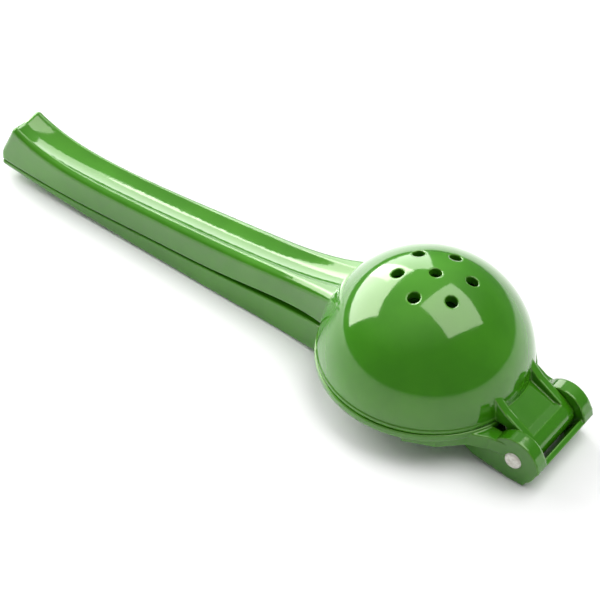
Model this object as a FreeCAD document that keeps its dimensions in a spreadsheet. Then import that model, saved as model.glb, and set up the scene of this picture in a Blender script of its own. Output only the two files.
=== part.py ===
import FreeCAD, Part
import math
import os
import Sketcher

# Hinged lemon squeezer: strainer bowl casting, presser casting and hinge pin, in millimetres.
# Sizes are measured from the centre of the bowl's sphere, +X towards the hinge, +Z up as it lies.
# The finished bodies are moved so that the origin is on the handle's flat underside.
SIZES = {
    "bowl_radius": 35.3,
    "bowl_wall": 2.8,
    "bowl_inside": "=bowl_radius - bowl_wall",
    "rim_lip": 0.3,
    "rim_radius": "=bowl_radius + rim_lip",
    "rim_low": -2.5,
    "rim_high": -1.2,
    "mouth_drop": 6.0,
    "hole_radius": 2.1,
    "hole_ring_radius": 11.6,
    "hole_phase": 30.0,
    "cup_gap": 4.5,
    "cup_radius": "=bowl_inside - cup_gap",
    "cup_wall": 2.6,
    "cup_inside": "=cup_radius - cup_wall",
    "cup_drop": 24.0,
    "flange_lip": 0.3,
    "flange_radius": "=rim_radius + flange_lip",
    "flange_gap": 0.5,
    "flange_thick": 2.4,
    "flange_top": "=rim_low - flange_gap",
    "flange_low": "=flange_top - flange_thick",
    "room_radius": "=bowl_radius - 2",
    "room_height": 30.0,
    "channel_radius": 12.0,
    "channel_sag": 1.45,
    "channel_rise": "=channel_radius - channel_sag",
    "outer_round": 2.4,
    "seam_round": 0.35,
    "lower_seam_round": 0.3,
    "lower_round": 1.4,
    "tip_lean": 7.2,
    "tip_drop": 12.0,
    "tip_round": 1.5,
    "hinge_reach": 8.5,
    "pin_x": "=flange_radius + hinge_reach",
    "pin_z": -9.0,
    "pin_radius": 3.0,
    "pin_clearance": 0.06,
    "pin_length": 34.2,
    "pin_dome": 0.9,
    "bore_radius": "=pin_radius + pin_clearance",
    "ear_radius": 8.6,
    "ear_thick": 5.0,
    "fork_gap": 23.0,
    "fork_half": "=fork_gap / 2",
    "fork_width": "=fork_gap + 2 * ear_thick",
    "tongue_clearance": 0.35,
    "tongue_wall": 2.8,
    "tongue_width": "=fork_gap - 2 * tongue_clearance",
    "floor_width": "=tongue_width - 2 * tongue_wall",
    "barrel_radius": 5.5,
    "plan_low": "=pin_z",
    "plan_height": "=flange_top - pin_z - 0.9",
    "web_distance": 6.4,
    "web_thick": 1.8,
    "web_angle": 30.5,
    "web_top": 4.6,
    "web_bottom": 7.2,
    "heel_distance": 2.9,
    "heel_run": 8.1,
    "heel_chamfer_distance": 6.4,
    "heel_chamfer_run": 6.3,
    "rest_level": -17.5,
    "cut_length": 100.0,
}

# Stations along the handles: distance from the bowl's axis, top, seam and underside heights,
# the slit under the seam and half the width.
STATIONS = {
    "tip": {"place": -176.0, "top": 9.4, "seam": -11.0, "low": -13.8, "slit": 0.35, "half": 7.2},
    "lip": {"place": -160.0, "top": 2.0, "seam": -11.8, "low": -15.0, "slit": 0.35, "half": 7.5},
    "grip": {"place": -140.0, "top": -0.3, "seam": -11.7, "low": -16.6, "slit": 0.45, "half": 7.7},
    "mid": {"place": -105.0, "top": 1.4, "seam": -9.6, "low": -17.9, "slit": 0.7, "half": 8.1},
    "neck": {"place": -70.0, "top": 4.6, "seam": -6.3, "low": -18.1, "slit": 1.5, "half": 8.8},
    "root": {"place": -45.0, "top": 8.2, "seam": -2.9, "low": -18.0, "slit": 2.5, "half": 9.6},
    "core": {"place": -27.0, "top": 13.0, "seam": -2.1, "low": -15.0, "slit": 0.8, "half": 13.0},
}

# Outlines as named corners. Each corner is a distance ahead of the outline's own starting point
# and a distance up from it, or out from it for the plan of the fork's necks.
OUTLINES = {
    "tipcut": ("tip_place", "tip_top", {
        "behind": (-20.0, 20.0),
        "over": ("=2.4 * tip_lean", 12.6),
        "lip": ("=tip_lean", 0.0),
        "under": (-0.4, "=-tip_drop - 4"),
        "below": (-20.0, "=-tip_drop - 4"),
    }),
    "tongue": ("pin_x", "pin_z", {
        "inside": ("=-pin_x", "=rim_low - pin_z"),
        "heel": (-7.0, "=rim_low - pin_z"),
        "throat": (-4.4, 0.0),
        "centre": (0.0, 0.0),
        "nose": (4.6, 3.0),
        "brow": (1.4, 5.9),
        "slope": (-7.5, 11.3),
        "shoulder": (-13.0, 16.4),
        "crown": ("=-pin_x", 26.0),
    }),
    "floor": ("pin_x", "pin_z", {
        "inside": ("=bowl_radius - 14 - pin_x", "=rim_low + 3 - pin_z"),
        "bowl": ("=bowl_radius - 1 - pin_x", "=rim_low + 3 - pin_z"),
        "slope": (-8.0, 8.6),
        "barrel": (-1.0, "=barrel_radius"),
        "end": (6.0, "=barrel_radius"),
        "over": (6.0, 32.0),
        "crown": ("=bowl_radius - 14 - pin_x", 32.0),
    }),
    "fork": ("pin_x", "pin_z", {
        "inside": ("=cup_radius - 8 - pin_x", "=flange_low + 0.5 - pin_z"),
        "flange": ("=flange_radius - 5 - pin_x", "=flange_low + 0.5 - pin_z"),
        "bridge": (-8.0, 0.6),
        "crest": (0.0, 2.0),
        "foot": (0.0, "=-ear_radius"),
        "heel": (-14.0, -6.6),
        "belly": (-22.0, -2.4),
    }),
    "neckplan": ("pin_x", "fork_half", {
        "rim": (-32.0, "=flange_radius - 4.5 - fork_half"),
        "curve": (-22.0, "=flange_radius - 9 - fork_half"),
        "hollow": (-15.0, "=ear_thick + 3.4"),
        "blend": (-9.0, "=ear_thick + 0.8"),
        "ear": (-3.0, "=ear_thick"),
        "earroot": (-3.0, 1.0),
        "inside": (-24.0, 1.0),
        "flange": (-34.0, "=flange_radius - 8 - fork_half"),
    }),
    "forkgap": ("pin_x", "pin_z", {
        "inlow": ("=flange_radius + 0.4 - pin_x", -14.0),
        "outlow": (14.0, -14.0),
        "outhigh": (14.0, 14.0),
        "inhigh": ("=flange_radius + 0.4 - pin_x", 14.0),
    }),
    "rest": ("tip_place", "rest_level", {
        "behindlow": (-5.0, -10.0),
        "aheadlow": ("=pin_x + 20 - tip_place", -10.0),
        "ahead": ("=pin_x + 20 - tip_place", 0.0),
        "behind": (-5.0, 0.0),
    }),
}

# The juice holes are one at the top of the bowl and a ring of six.
RING_HOLES = 6
# An edge with less width than this along the pin is the circle at one of its ends.
FLAT_EDGE = 0.01
# Every size in the sheet is read through this prefix.
S = "Sizes."

doc = FreeCAD.newDocument("LemonSqueezer")
sheet = doc.addObject("Spreadsheet::Sheet", "Sizes")


def sheet_rows():
    """List every named size with its value or its rule."""
    rows = list(SIZES.items())
    for station, heights in STATIONS.items():
        for name, value in heights.items():
            rows.append((station + "_" + name, value))
        rows.append((station + "_shelf", "=%s_seam - %s_slit" % (station, station)))
    for shape, (_, _, corners) in OUTLINES.items():
        for name, (ahead, up) in corners.items():
            rows.append((shape + "_" + name + "_ahead", ahead))
            rows.append((shape + "_" + name + "_up", up))
    return rows


for row, (alias, value) in enumerate(sheet_rows(), start=1):
    sheet.set("A%d" % row, alias)
    sheet.set("B%d" % row, str(value))
    sheet.setAlias("B%d" % row, alias)
doc.recompute()


def new_body(name, label):
    """Start a body with its own label and placement."""
    body = doc.addObject("PartDesign::Body", name)
    body.Label = label
    body.setExpression("Placement.Base.x", "-(Sizes.mid_place + Sizes.neck_place) / 2")
    body.setExpression("Placement.Base.z", "-Sizes.rest_level")
    return body


def origin_plane(body, role):
    """Find one origin plane of a body by its role."""
    for feature in body.Origin.OriginFeatures:
        if feature.Role == role:
            return feature
    raise ValueError(role)


def new_sketch(body, name, role, offset=None):
    """Start a sketch on an origin plane, moved along the plane's normal by a bound offset."""
    sketch = body.newObject("Sketcher::SketchObject", name)
    sketch.AttachmentSupport = [(origin_plane(body, role), "")]
    sketch.MapMode = "FlatFace"
    if offset:
        sketch.setExpression("AttachmentOffset.Base.z", offset)
    return sketch


def pin_axis(sketch, geo, pos, kind, text):
    """Hold one point of a curve at a bound distance from the sketch origin, along one axis."""
    point = sketch.getPoint(geo, pos)
    now = point.x if kind == "DistanceX" else point.y
    index = sketch.addConstraint(Sketcher.Constraint(kind, -1, 1, geo, pos, now))
    name = "%s_%d_%d" % (kind, geo, pos)
    sketch.renameConstraint(index, name)
    sketch.setExpression("Constraints." + name, text)


def pin_point(sketch, geo, pos, across, up):
    """Hold one point of a curve at bound distances from the sketch origin."""
    pin_axis(sketch, geo, pos, "DistanceX", across)
    pin_axis(sketch, geo, pos, "DistanceY", up)


def polygon(sketch, points):
    """Closed polygon through points given as pairs of expressions."""
    count = len(points)
    turns = [2 * math.pi * number / count for number in range(count)]
    seeds = [FreeCAD.Vector(math.cos(turn), math.sin(turn), 0) for turn in turns]
    for number in range(count):
        sketch.addGeometry(Part.LineSegment(seeds[number], seeds[(number + 1) % count]), False)
    for number in range(count):
        after = (number + 1) % count
        sketch.addConstraint(Sketcher.Constraint("Coincident", number, 2, after, 1))
    for number, (across, up) in enumerate(points):
        pin_point(sketch, number, 1, across, up)


def outline(sketch, shape, sign=""):
    """Draw one named outline; a minus sign puts its second direction on the near side."""
    start_ahead, start_up, corners = OUTLINES[shape]
    points = []
    for name in corners:
        corner_name = S + shape + "_" + name
        across = "%s%s + %s_ahead" % (S, start_ahead, corner_name)
        up = "%s(%s%s + %s_up)" % (sign, S, start_up, corner_name)
        points.append((across, up))
    polygon(sketch, points)


def disc(sketch, across, up, radius):
    """Circle with bound centre and radius."""
    geo = sketch.addGeometry(Part.Circle(FreeCAD.Vector(1, 1, 0), FreeCAD.Vector(0, 0, 1), 1.0), False)
    pin_point(sketch, geo, 3, across, up)
    index = sketch.addConstraint(Sketcher.Constraint("Radius", geo, 1.0))
    sketch.renameConstraint(index, "radius_%d" % geo)
    sketch.setExpression("Constraints.radius_%d" % geo, radius)


def pad(body, sketch, name, length, base="PartDesign::Pad"):
    """Pad or pocket equally to both sides of the sketch by a bound total length."""
    feature = body.newObject(base, name)
    feature.Profile = sketch
    feature.Midplane = True
    feature.setExpression("Length", length)
    sketch.Visibility = False
    return feature


def half_ball(body, base, name, radius):
    """Half of a sphere that stands on the rim plane."""
    feature = body.newObject(base, name)
    feature.setExpression("Radius", radius)
    feature.setExpression("Placement.Base.z", S + "rim_low")
    feature.Angle1 = 0
    feature.Angle2 = 90
    return feature


def drum(body, base, name, radius, height, level):
    """Upright cylinder on the Z axis with its lower face at a level."""
    feature = body.newObject(base, name)
    feature.setExpression("Radius", radius)
    feature.setExpression("Height", height)
    feature.setExpression("Placement.Base.z", level)
    return feature


def quarter_arc(across, up, radius, quarter):
    """Quarter circle in the sketch plane, counted anticlockwise from the right."""
    circle = Part.Circle(FreeCAD.Vector(across, up, 0), FreeCAD.Vector(0, 0, 1), radius)
    return Part.ArcOfCircle(circle, quarter * math.pi / 2, (quarter + 1) * math.pi / 2)


def handle_section(body, name, station, high, low):
    """One rounded cross-section of a handle; high and low each name a height and its rounding."""
    sketch = new_sketch(body, name, "YZ_Plane", S + station + "_place")
    wide = S + station + "_half"
    sides = ((1, 1, high), (-1, 1, high), (-1, -1, low), (1, -1, low))
    for quarter, (side, end, (height, rounding)) in enumerate(sides):
        inset = sheet.get(rounding)
        across = side * (sheet.get(station + "_half") - inset)
        up = sheet.get(height) - end * inset
        sketch.addGeometry(quarter_arc(across, up, inset, quarter), False)
    for number in range(4):
        after = (number + 1) % 4
        line = Part.LineSegment(sketch.getPoint(number, 2), sketch.getPoint(after, 1))
        geo = sketch.addGeometry(line, False)
        sketch.addConstraint(Sketcher.Constraint("Coincident", number, 2, geo, 1))
        sketch.addConstraint(Sketcher.Constraint("Coincident", geo, 2, after, 1))
    for number, (side, end, (height, rounding)) in enumerate(sides):
        edge = wide if side > 0 else "-" + wide
        inward = edge + (" - " if side > 0 else " + ") + S + rounding
        level = S + height + (" - " if end > 0 else " + ") + S + rounding
        side_end = 1 if number in (0, 2) else 2
        flat_end = 3 - side_end
        pin_point(sketch, number, side_end, edge, level)
        pin_point(sketch, number, flat_end, inward, S + height)
        pin_axis(sketch, number, 3, "DistanceX", inward)
    return sketch


def loft(body, name, sections, base="PartDesign::AdditiveLoft"):
    """Smooth bar, or smooth cut, through the cross-sections."""
    doc.recompute()
    feature = body.newObject(base, name)
    feature.Profile = sections[0]
    feature.Sections = sections[1:]
    feature.Ruled = False
    for section in sections:
        section.Visibility = False
    doc.recompute()
    return feature


def web_corner(distance, run):
    """Point at a distance from the pin across the web and at a run along the web."""
    lean_x = "cos(" + S + "web_angle * 1 deg)"
    lean_z = "sin(" + S + "web_angle * 1 deg)"
    across = "%spin_x + (%s) * %s + (%s) * %s" % (S, distance, lean_x, run, lean_z)
    up = "%spin_z - (%s) * %s + (%s) * %s" % (S, distance, lean_z, run, lean_x)
    return (across, up)


# Strainer bowl casting: bowl, its handle with the hollowed top, and its hinge tongue.
strainer = new_body("Strainer", "strainer_bowl")
loft(strainer, "StrainerHandle", [
    handle_section(strainer, "StrainerAt" + station.title(), station,
                   (station + "_top", "outer_round"), (station + "_seam", "seam_round"))
    for station in STATIONS
])
channel_discs = []
for station in STATIONS:
    channel = new_sketch(strainer, "ChannelAt" + station.title(), "YZ_Plane", S + station + "_place")
    disc(channel, "0 mm", S + station + "_top + " + S + "channel_rise", S + "channel_radius")
    channel_discs.append(channel)
loft(strainer, "Channel", channel_discs, "PartDesign::SubtractiveLoft")

tip_cut = new_sketch(strainer, "TipCutSide", "XZ_Plane")
outline(tip_cut, "tipcut")
pad(strainer, tip_cut, "TipCut", S + "cut_length", "PartDesign::Pocket")
doc.recompute()
tip_edges = []
for number, edge in enumerate(strainer.Tip.Shape.Edges, start=1):
    behind_lip = edge.BoundBox.XMax < sheet.get("tip_place") + sheet.get("tip_lean")
    if behind_lip and edge.BoundBox.ZMax > sheet.get("tip_top") - sheet.get("tip_drop"):
        tip_edges.append("Edge%d" % number)
tip_rounding = strainer.newObject("PartDesign::Fillet", "TipRounding")
tip_rounding.Base = (doc.getObject("TipCut"), tip_edges)
tip_rounding.setExpression("Radius", S + "tip_round")
doc.recompute()
tongue = new_sketch(strainer, "TongueSide", "XZ_Plane")
outline(tongue, "tongue")
pad(strainer, tongue, "TongueBlock", S + "tongue_width")
barrel = new_sketch(strainer, "BarrelSide", "XZ_Plane")
disc(barrel, S + "pin_x", S + "pin_z", S + "barrel_radius")
pad(strainer, barrel, "Barrel", S + "tongue_width")
tongue_floor = new_sketch(strainer, "TongueFloorSide", "XZ_Plane")
outline(tongue_floor, "floor")
pad(strainer, tongue_floor, "TongueFloor", S + "floor_width", "PartDesign::Pocket")

half_ball(strainer, "PartDesign::AdditiveSphere", "BowlBall", S + "bowl_radius")
drum(strainer, "PartDesign::AdditiveCylinder", "BowlRim", S + "rim_radius",
     S + "rim_high - " + S + "rim_low", S + "rim_low")
half_ball(strainer, "PartDesign::SubtractiveSphere", "BowlHollow", S + "bowl_inside")
drum(strainer, "PartDesign::SubtractiveCylinder", "BowlMouth", S + "bowl_inside",
     S + "mouth_drop", S + "rim_low - " + S + "mouth_drop")
bore = new_sketch(strainer, "TongueBore", "XZ_Plane")
disc(bore, S + "pin_x", S + "pin_z", S + "bore_radius")
pad(strainer, bore, "PinBore", S + "cut_length", "PartDesign::Pocket")
holes = new_sketch(strainer, "JuiceHoles", "XY_Plane")
disc(holes, "0 mm", "0 mm", S + "hole_radius")
for number in range(RING_HOLES):
    turn = "(360 * %d / %d + %shole_phase) * 1 deg" % (number, RING_HOLES, S)
    disc(holes, S + "hole_ring_radius * cos(" + turn + ")",
         S + "hole_ring_radius * sin(" + turn + ")", S + "hole_radius")
pad(strainer, holes, "JuiceHolesThrough", S + "cut_length", "PartDesign::Pocket")
doc.recompute()

# Presser casting: its handle, flange, press dome, fork ears and the web that joins them.
presser = new_body("Presser", "presser")
loft(presser, "PresserHandle", [
    handle_section(presser, "PresserAt" + station.title(), station,
                   (station + "_shelf", "lower_seam_round"), (station + "_low", "lower_round"))
    for station in STATIONS
])
drum(presser, "PartDesign::SubtractiveCylinder", "FlangeRoom", S + "room_radius",
     S + "room_height", S + "flange_top")
drum(presser, "PartDesign::AdditiveCylinder", "Flange", S + "flange_radius",
     S + "flange_thick", S + "flange_low")
half_ball(presser, "PartDesign::AdditiveSphere", "CupBall", S + "cup_radius")
drum(presser, "PartDesign::AdditiveCylinder", "CupWall", S + "cup_radius",
     S + "flange_gap", S + "flange_top")
fork = new_sketch(presser, "ForkSide", "XZ_Plane")
outline(fork, "fork")
pad(presser, fork, "ForkArms", S + "fork_width")
for side, sign in (("Near", "-"), ("Far", "")):
    neck = new_sketch(presser, side + "NeckPlan", "XY_Plane", S + "plan_low")
    outline(neck, "neckplan", sign)
    neck_pad = presser.newObject("PartDesign::Pad", side + "Neck")
    neck_pad.Profile = neck
    neck_pad.setExpression("Length", S + "plan_height")
ears = new_sketch(presser, "EarSide", "XZ_Plane")
disc(ears, S + "pin_x", S + "pin_z", S + "ear_radius")
pad(presser, ears, "Ears", S + "fork_width")
inner_face = S + "web_distance"
outer_face = S + "web_distance + " + S + "web_thick"
heels = new_sketch(presser, "EarHeelSide", "XZ_Plane")
polygon(heels, [
    (S + "pin_x", S + "pin_z"),
    web_corner(S + "heel_distance", S + "heel_run"),
    web_corner(S + "heel_chamfer_distance", S + "heel_chamfer_run"),
    web_corner(outer_face, S + "web_top"),
    web_corner(outer_face, "-" + S + "web_bottom"),
])
pad(presser, heels, "EarHeels", S + "fork_width")
gap = new_sketch(presser, "ForkGapSide", "XZ_Plane")
outline(gap, "forkgap")
pad(presser, gap, "ForkGap", S + "fork_gap", "PartDesign::Pocket")
web = new_sketch(presser, "WebSide", "XZ_Plane")
polygon(web, [
    web_corner(inner_face, S + "web_top"),
    web_corner(outer_face, S + "web_top"),
    web_corner(outer_face, "-" + S + "web_bottom"),
    web_corner(inner_face, "-" + S + "web_bottom"),
])
pad(presser, web, "Web", S + "fork_width")
half_ball(presser, "PartDesign::SubtractiveSphere", "CupHollow", S + "cup_inside")
drum(presser, "PartDesign::SubtractiveCylinder", "CupMouth", S + "cup_inside",
     S + "cup_drop", S + "rim_low - " + S + "cup_drop")
ear_bore = new_sketch(presser, "EarBore", "XZ_Plane")
disc(ear_bore, S + "pin_x", S + "pin_z", S + "pin_radius")
pad(presser, ear_bore, "PinHoles", S + "cut_length", "PartDesign::Pocket")
rest = new_sketch(presser, "RestCut", "XZ_Plane")
outline(rest, "rest")
pad(presser, rest, "RestFlats", S + "cut_length", "PartDesign::Pocket")
doc.recompute()

# Hinge pin: plain rod with rounded ends.
pin = new_body("HingePin", "hinge_pin")
rod = new_sketch(pin, "RodEnd", "XZ_Plane")
disc(rod, S + "pin_x", S + "pin_z", S + "pin_radius")
pad(pin, rod, "Rod", S + "pin_length")
doc.recompute()
end_names = []
for number, edge in enumerate(pin.Tip.Shape.Edges, start=1):
    if edge.BoundBox.YLength < FLAT_EDGE:
        end_names.append("Edge%d" % number)
rounded = pin.newObject("PartDesign::Fillet", "PinEnds")
rounded.Base = (doc.getObject("Rod"), end_names)
rounded.setExpression("Radius", S + "pin_dome")
doc.recompute()

# Check every object, then write one file for each piece.
for obj in doc.Objects:
    if "Invalid" in obj.State or "Error" in obj.State:
        raise RuntimeError("%s did not build" % obj.Name)
os.makedirs("parts", exist_ok=True)
for body in (strainer, presser, pin):
    shape = body.Shape
    if shape.isNull() or not shape.isValid() or len(shape.Solids) != 1:
        raise RuntimeError("%s is not one sound solid: %d" % (body.Label, len(shape.Solids)))
    shape.exportStep("parts/%s.step" % body.Label)
    print(body.Label, round(shape.Volume), shape.BoundBox)
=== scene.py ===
"""Looks of the hinged lemon squeezer: finishes, camera, lights and floor."""
import logging
import math
from dataclasses import dataclass
from enum import Enum
from typing import Tuple, Union

import bpy
from mathutils import Matrix, Vector

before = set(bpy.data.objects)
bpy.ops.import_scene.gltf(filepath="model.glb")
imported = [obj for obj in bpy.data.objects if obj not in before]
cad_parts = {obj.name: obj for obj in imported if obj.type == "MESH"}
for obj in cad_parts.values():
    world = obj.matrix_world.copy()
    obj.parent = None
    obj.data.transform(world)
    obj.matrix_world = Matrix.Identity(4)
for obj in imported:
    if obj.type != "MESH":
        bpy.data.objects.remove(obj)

LOG = logging.getLogger("squeezer")
Colour = Tuple[float, float, float]
Point = Tuple[float, float, float]
Span = Tuple[float, float]
Value = Union[bpy.types.NodeSocket, float]
Paint = Union[bpy.types.NodeSocket, Colour]
WHOLE: Span = (0.0, 1.0)


class EdgeSocket(Enum):
    """Names of the soft edge group's sockets."""

    RADIUS = "Radius"
    NORMAL = "Normal"
    MASK = "Edges"


@dataclass(frozen=True)
class DisplayCurve:
    """The usual curve of a display: a straight foot, and a power above it."""

    top_level: float = 255.0
    foot_end: float = 0.04045
    foot_slope: float = 12.92
    offset: float = 0.055
    power: float = 2.4

    def linear(self, level: int) -> float:
        """Turn one display level into its linear value.

        Args:
            level: the level, from 0 to the top level.

        Returns:
            The linear value, from 0 to 1.
        """
        shown = level / self.top_level
        if shown <= self.foot_end:
            return shown / self.foot_slope
        return ((shown + self.offset) / (1.0 + self.offset)) ** self.power


def linear(red: int, green: int, blue: int) -> Colour:
    """Turn the three levels of a display colour into linear values.

    Args:
        red: red level, 0 to 255.
        green: green level, 0 to 255.
        blue: blue level, 0 to 255.

    Returns:
        The three linear values.
    """
    curve = DisplayCurve()
    return curve.linear(red), curve.linear(green), curve.linear(blue)


def opaque(colour: Colour) -> Tuple[float, float, float, float]:
    """Colour with an alpha of 1."""
    return colour[0], colour[1], colour[2], 1.0


def new_material(name: str) -> bpy.types.Material:
    """Material with its nodes switched on."""
    material = bpy.data.materials.new(name)
    material.use_nodes = True
    return material


def object_place(tree: bpy.types.NodeTree) -> bpy.types.NodeSocket:
    """Socket with the piece's own coordinates, in metres."""
    return tree.nodes.new("ShaderNodeTexCoord").outputs["Object"]


def math_node(tree: bpy.types.NodeTree, operation: str, first: Value,
              second: Value) -> bpy.types.NodeSocket:
    """Add a math node.

    Args:
        tree: node tree that gets the node.
        operation: the node's operation.
        first: a socket or a number for the first input.
        second: a socket or a number for the second input.

    Returns:
        The node's output socket.
    """
    node = tree.nodes.new("ShaderNodeMath")
    node.operation = operation
    for index, value in enumerate((first, second)):
        if isinstance(value, (int, float)):
            node.inputs[index].default_value = value
        else:
            tree.links.new(value, node.inputs[index])
    return node.outputs[0]


def noise(tree: bpy.types.NodeTree, place: bpy.types.NodeSocket, scale: float,
          detail: float = 4.0) -> bpy.types.NodeSocket:
    """Add a noise texture.

    Args:
        tree: node tree that gets the node.
        place: socket with the coordinates.
        scale: noise scale per metre.
        detail: octaves.

    Returns:
        The factor output socket.
    """
    node = tree.nodes.new("ShaderNodeTexNoise")
    node.inputs["Scale"].default_value = scale
    node.inputs["Detail"].default_value = detail
    tree.links.new(place, node.inputs["Vector"])
    return node.outputs["Fac"]


def spread(tree: bpy.types.NodeTree, value: bpy.types.NodeSocket, source: Span,
           result: Span) -> bpy.types.NodeSocket:
    """Map a range of values smoothly onto another range.

    Args:
        tree: node tree that gets the node.
        value: socket to map.
        source: the two values that give the first and the last result.
        result: first and last result.

    Returns:
        The mapped output socket.
    """
    node = tree.nodes.new("ShaderNodeMapRange")
    node.interpolation_type = "SMOOTHSTEP"
    node.inputs["From Min"].default_value = source[0]
    node.inputs["From Max"].default_value = source[1]
    node.inputs["To Min"].default_value = result[0]
    node.inputs["To Max"].default_value = result[1]
    tree.links.new(value, node.inputs["Value"])
    return node.outputs["Result"]


def blend(tree: bpy.types.NodeTree, factor: bpy.types.NodeSocket, first: Paint,
          second: Paint) -> bpy.types.NodeSocket:
    """Mix two colours.

    Args:
        tree: node tree that gets the node.
        factor: socket that is 0 for the first colour and 1 for the second.
        first: a colour or a socket.
        second: a colour or a socket.

    Returns:
        The mixed colour's socket.
    """
    node = tree.nodes.new("ShaderNodeMix")
    node.data_type = "RGBA"
    tree.links.new(factor, node.inputs["Factor"])
    for label, value in (("A", first), ("B", second)):
        if isinstance(value, tuple):
            node.inputs[label].default_value = opaque(value)
        else:
            tree.links.new(value, node.inputs[label])
    return node.outputs["Result"]


def bump(tree: bpy.types.NodeTree, height: bpy.types.NodeSocket, normal: bpy.types.NodeSocket,
         strength: float, depth: float) -> bpy.types.NodeSocket:
    """Add a bump over a normal.

    Args:
        tree: node tree that gets the node.
        height: socket with the relief.
        normal: socket with the normal below it.
        strength: share of the relief that shows.
        depth: height of the relief in metres.

    Returns:
        The new normal's socket.
    """
    node = tree.nodes.new("ShaderNodeBump")
    node.inputs["Strength"].default_value = strength
    node.inputs["Distance"].default_value = depth
    tree.links.new(height, node.inputs["Height"])
    tree.links.new(normal, node.inputs["Normal"])
    return node.outputs["Normal"]


@dataclass(frozen=True)
class SoftEdges:
    """Group that rounds a piece's edges in its normal and marks where they are.

    The mask compares the rounded normal with the plain one. It starts where their dot product
    falls to the flat value, and it is full at the turned value.
    """

    samples: int = 8
    flat: float = 0.995
    turned: float = 0.86

    def build(self) -> bpy.types.NodeTree:
        """Build the group.

        Returns:
            A group with the rounded normal and a mask that is 1 on edges.
        """
        tree = bpy.data.node_groups.new("SoftEdges", "ShaderNodeTree")
        tree.interface.new_socket(EdgeSocket.RADIUS.value, in_out="INPUT", socket_type="NodeSocketFloat")
        tree.interface.new_socket(EdgeSocket.NORMAL.value, in_out="OUTPUT", socket_type="NodeSocketVector")
        tree.interface.new_socket(EdgeSocket.MASK.value, in_out="OUTPUT", socket_type="NodeSocketFloat")
        start = tree.nodes.new("NodeGroupInput")
        end = tree.nodes.new("NodeGroupOutput")
        rounding = tree.nodes.new("ShaderNodeBevel")
        rounding.samples = self.samples
        geometry = tree.nodes.new("ShaderNodeNewGeometry")
        likeness = tree.nodes.new("ShaderNodeVectorMath")
        likeness.operation = "DOT_PRODUCT"
        tree.links.new(start.outputs[EdgeSocket.RADIUS.value], rounding.inputs["Radius"])
        tree.links.new(rounding.outputs["Normal"], likeness.inputs[0])
        tree.links.new(geometry.outputs["Normal"], likeness.inputs[1])
        tree.links.new(rounding.outputs["Normal"], end.inputs[EdgeSocket.NORMAL.value])
        mask = spread(tree, likeness.outputs["Value"], (self.flat, self.turned), WHOLE)
        tree.links.new(mask, end.inputs[EdgeSocket.MASK.value])
        return tree


def place_edges(tree: bpy.types.NodeTree, group: bpy.types.NodeTree, radius: float) -> bpy.types.Node:
    """Put the soft edge group into a material.

    Args:
        tree: the material's node tree.
        group: the soft edge group.
        radius: rounding in metres.

    Returns:
        The group's node.
    """
    node = tree.nodes.new("ShaderNodeGroup")
    node.node_tree = group
    node.inputs[EdgeSocket.RADIUS.value].default_value = radius
    return node


@dataclass(frozen=True)
class Enamel:
    """Glossy baked enamel over a casting: thinner and paler on edges, with a faint orange peel."""

    name: str = "green_enamel"
    body: Colour = linear(50, 118, 11)
    pale: Colour = linear(60, 131, 18)
    edge: Colour = linear(96, 165, 48)
    sheen: Colour = (0.88, 1.0, 0.62)
    edge_radius: float = 0.0011
    edge_share: float = 0.55
    cloud_scale: float = 38.0
    cloud_range: Span = (0.35, 0.7)
    rough_scale: float = 260.0
    rough_range: Span = (0.3, 0.75)
    roughness: Span = (0.07, 0.12)
    specular: float = 0.5
    coat: float = 0.5
    coat_roughness: float = 0.03
    peel_scale: float = 420.0
    peel_detail: float = 2.0
    peel_strength: float = 0.6
    peel_height: float = 0.00004

    def build(self, edges: bpy.types.NodeTree) -> bpy.types.Material:
        """Build the enamel material.

        Args:
            edges: group that rounds and finds the edges.

        Returns:
            The material.
        """
        material = new_material(self.name)
        tree = material.node_tree
        shader = tree.nodes["Principled BSDF"]
        place = object_place(tree)
        rounding = place_edges(tree, edges, self.edge_radius)
        smooth = rounding.outputs[EdgeSocket.NORMAL.value]
        clouds = spread(tree, noise(tree, place, self.cloud_scale), self.cloud_range, WHOLE)
        thin = math_node(tree, "MULTIPLY", rounding.outputs[EdgeSocket.MASK.value], self.edge_share)
        tint = blend(tree, clouds, self.body, self.pale)
        tree.links.new(blend(tree, thin, tint, self.edge), shader.inputs["Base Color"])
        rough = spread(tree, noise(tree, place, self.rough_scale), self.rough_range, self.roughness)
        tree.links.new(rough, shader.inputs["Roughness"])
        shader.inputs["Specular IOR Level"].default_value = self.specular
        shader.inputs["Specular Tint"].default_value = opaque(self.sheen)
        shader.inputs["Coat Weight"].default_value = self.coat
        shader.inputs["Coat Roughness"].default_value = self.coat_roughness
        peel = noise(tree, place, self.peel_scale, self.peel_detail)
        relief = bump(tree, peel, smooth, self.peel_strength, self.peel_height)
        tree.links.new(relief, shader.inputs["Normal"])
        tree.links.new(smooth, shader.inputs["Coat Normal"])
        return material


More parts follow.
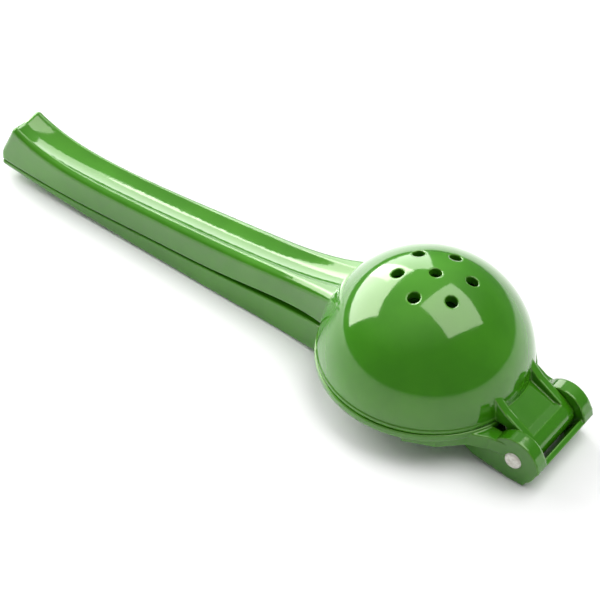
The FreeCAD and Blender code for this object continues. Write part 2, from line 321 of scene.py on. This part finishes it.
@dataclass(frozen=True)
class PinSteel:
    """Dull worn steel with a fine grain and small dents."""

    name: str = "pin_steel"
    bright: Colour = linear(240, 238, 230)
    dull: Colour = linear(205, 201, 190)
    edge_radius: float = 0.0005
    grain_scale: float = 900.0
    grain_range: Span = (0.3, 0.7)
    roughness: Span = (0.32, 0.5)
    metallic: float = 0.35
    dent_scale: float = 700.0
    dent_strength: float = 0.5
    dent_depth: float = 0.00005

    def build(self, edges: bpy.types.NodeTree) -> bpy.types.Material:
        """Build the pin's material.

        Args:
            edges: group that rounds and finds the edges.

        Returns:
            The material.
        """
        material = new_material(self.name)
        tree = material.node_tree
        shader = tree.nodes["Principled BSDF"]
        place = object_place(tree)
        rounding = place_edges(tree, edges, self.edge_radius)
        grain = spread(tree, noise(tree, place, self.grain_scale), self.grain_range, WHOLE)
        tree.links.new(blend(tree, grain, self.bright, self.dull), shader.inputs["Base Color"])
        tree.links.new(spread(tree, grain, WHOLE, self.roughness), shader.inputs["Roughness"])
        shader.inputs["Metallic"].default_value = self.metallic
        smooth = rounding.outputs[EdgeSocket.NORMAL.value]
        dents = noise(tree, place, self.dent_scale)
        relief = bump(tree, dents, smooth, self.dent_strength, self.dent_depth)
        tree.links.new(relief, shader.inputs["Normal"])
        return material


@dataclass(frozen=True)
class Piece:
    """One solid of the tool, dressed in one finish."""

    node: str
    story: str

    def dress(self, finish: bpy.types.Material) -> None:
        """Give the solid its finish.

        Args:
            finish: material for every face.
        """
        solid = bpy.data.objects[self.node]
        solid.data.materials.clear()
        solid.data.materials.append(finish)
        solid.data.polygons.foreach_set("material_index", [0] * len(solid.data.polygons))
        LOG.info("%s: %s, in %s", self.node, self.story, finish.name)


@dataclass(frozen=True)
class Squeezer:
    """The whole tool: two enamelled castings and the pin that joins them."""

    strainer: Piece = Piece("strainer_bowl", "bowl, upper handle and hinge tongue")
    presser: Piece = Piece("presser", "press dome, lower handle, ears and web")
    pin: Piece = Piece("hinge_pin", "rod through the ears and the tongue")
    enamel: Enamel = Enamel()
    steel: PinSteel = PinSteel()

    def dress(self) -> None:
        """Build both finishes and put them on the three pieces."""
        edges = SoftEdges().build()
        green = self.enamel.build(edges)
        self.strainer.dress(green)
        self.presser.dress(green)
        self.pin.dress(self.steel.build(edges))


@dataclass(frozen=True)
class PhotoCamera:
    """Camera at the photo's viewpoint, aimed by its turn, height angle, roll and distance.

    The focal length and the bowl's place, across and down, are in picture points.
    """

    turn: float = math.radians(34.13)
    rise: float = math.radians(43.93)
    roll: float = math.radians(3.43)
    distance: float = 0.6893
    focal: float = 2150.37
    bowl_across: float = 426.72
    bowl_down: float = 347.09
    picture: int = 600
    bowl_centre: Point = (0.0875, 0.0, 0.0175)
    sensor: float = 36.0
    far_limit: float = 20.0

    def build(self) -> None:
        """Create the camera and make it the scene's.

        The bowl's centre falls on the named picture point: the camera stands back from it by the
        distance and aside by that point's offset from the picture's middle over the focal length.
        """
        back = Vector((math.sin(self.turn) * math.cos(self.rise),
                       -math.cos(self.turn) * math.cos(self.rise), math.sin(self.rise)))
        level = Vector((math.cos(self.turn), math.sin(self.turn), 0.0))
        upright = back.cross(level)
        right = level * math.cos(self.roll) + upright * math.sin(self.roll)
        up = upright * math.cos(self.roll) - level * math.sin(self.roll)
        half = self.picture / 2
        across = (self.bowl_across - half) / self.focal * self.distance
        above = (half - self.bowl_down) / self.focal * self.distance
        place = Vector(self.bowl_centre) - right * across - up * above + back * self.distance
        data = bpy.data.cameras.new("PhotoCamera")
        data.sensor_width = self.sensor
        data.lens = self.focal / self.picture * self.sensor
        data.clip_end = self.far_limit
        camera = bpy.data.objects.new("PhotoCamera", data)
        turned = Matrix((right, up, back)).transposed().to_4x4()
        camera.matrix_world = Matrix.Translation(place) @ turned
        bpy.context.scene.collection.objects.link(camera)
        bpy.context.scene.camera = camera
        LOG.info("camera at %.3f, %.3f, %.3f", *place)


@dataclass(frozen=True)
class Softbox:
    """One rectangular studio light that points at the tool, or a card that only shows as gloss."""

    name: str
    direction: Point
    distance: float
    width: float
    depth: float
    power: float
    spin: float = 0.0
    target: Point = (0.03, 0.0, 0.02)
    gloss_only: bool = False

    def build(self) -> None:
        """Create the light, spun in its own plane by its spin."""
        data = bpy.data.lights.new(self.name, "AREA")
        data.shape = "RECTANGLE"
        data.size = self.width
        data.size_y = self.depth
        data.energy = self.power
        light = bpy.data.objects.new(self.name, data)
        light.visible_camera = False
        light.visible_diffuse = not self.gloss_only
        away = Vector(self.direction).normalized()
        aim = away.to_track_quat("Z", "Y").to_matrix().to_4x4()
        place = Matrix.Translation(Vector(self.target) + away * self.distance)
        light.matrix_world = place @ aim @ Matrix.Rotation(self.spin, 4, "Z")
        bpy.context.scene.collection.objects.link(light)
        LOG.info("light %s", self.name)


@dataclass(frozen=True)
class Studio:
    """White floor, white surroundings, two softboxes and a card for the handle's gloss."""

    floor_level: float = -0.0002
    floor_half: float = 6.0
    floor_scale: float = 30.0
    floor_range: Span = (0.3, 0.7)
    floor_shade: Span = (0.85, 0.87)
    floor_roughness: float = 0.7
    white: Colour = (1.0, 1.0, 1.0)
    surround: float = 0.21
    seen_white: float = 1.0
    sky: Point = (-0.35, 0.15, 0.92)
    sky_range: Span = (0.35, 1.0)
    sky_gain: Span = (0.0, 0.5)
    handle_panel: Softbox = Softbox(
        "HandlePanel", direction=(-0.58, 0.66, 0.47), distance=0.42, width=0.32, depth=0.27,
        power=1.15, target=(-0.04, 0.0, 0.02), gloss_only=True)
    tip_light: Softbox = Softbox(
        "TipLight", direction=(-0.885, 0.11, 0.45), distance=1.2, width=1.3, depth=0.83,
        power=24.0)
    top_light: Softbox = Softbox(
        "TopLight", direction=(0.29, 0.24, 0.92), distance=1.3, width=1.1, depth=1.05,
        power=14.0, spin=math.radians(40.0))

    def floor(self) -> None:
        """Build the floor, a square just under the tool, as part of the stage."""
        half = self.floor_half
        level = self.floor_level
        mesh = bpy.data.meshes.new("Floor")
        square = [(-half, -half, level), (half, -half, level), (half, half, level), (-half, half, level)]
        mesh.from_pydata(square, [], [(0, 1, 2, 3)])
        floor = bpy.data.objects.new("Floor", mesh)
        bpy.context.scene.collection.objects.link(floor)
        material = new_material("floor_white")
        tree = material.node_tree
        shader = tree.nodes["Principled BSDF"]
        patches = noise(tree, object_place(tree), self.floor_scale)
        shade = spread(tree, patches, self.floor_range, self.floor_shade)
        tree.links.new(shade, shader.inputs["Base Color"])
        shader.inputs["Roughness"].default_value = self.floor_roughness
        mesh.materials.append(material)

    def surroundings(self) -> None:
        """Set the world's light, white all round and stronger towards one part of the sky.

        Where the camera sees the world itself, it is full white.
        """
        world = bpy.data.worlds.new("Studio")
        bpy.context.scene.world = world
        world.use_nodes = True
        tree = world.node_tree
        back = tree.nodes["Background"]
        back.inputs["Color"].default_value = opaque(self.white)
        path = tree.nodes.new("ShaderNodeLightPath")
        direction = tree.nodes.new("ShaderNodeTexCoord").outputs["Generated"]
        towards = tree.nodes.new("ShaderNodeVectorMath")
        towards.operation = "DOT_PRODUCT"
        towards.inputs[1].default_value = self.sky
        tree.links.new(direction, towards.inputs[0])
        glow = spread(tree, towards.outputs["Value"], self.sky_range, self.sky_gain)
        even = math_node(tree, "ADD", glow, self.surround)
        hidden = math_node(tree, "SUBTRACT", self.seen_white, even)
        seen = math_node(tree, "MULTIPLY", path.outputs["Is Camera Ray"], hidden)
        tree.links.new(math_node(tree, "ADD", seen, even), back.inputs["Strength"])

    def build(self) -> None:
        """Build the floor, the surroundings and the lights."""
        self.floor()
        self.surroundings()
        for light in (self.handle_panel, self.tip_light, self.top_light):
            light.build()


def main() -> None:
    """Dress the tool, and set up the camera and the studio."""
    logging.basicConfig(level=logging.INFO)
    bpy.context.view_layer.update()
    Squeezer().dress()
    PhotoCamera().build()
    Studio().build()
    bpy.context.scene.view_settings.view_transform = "Standard"


if __name__ == "__main__":
    main()
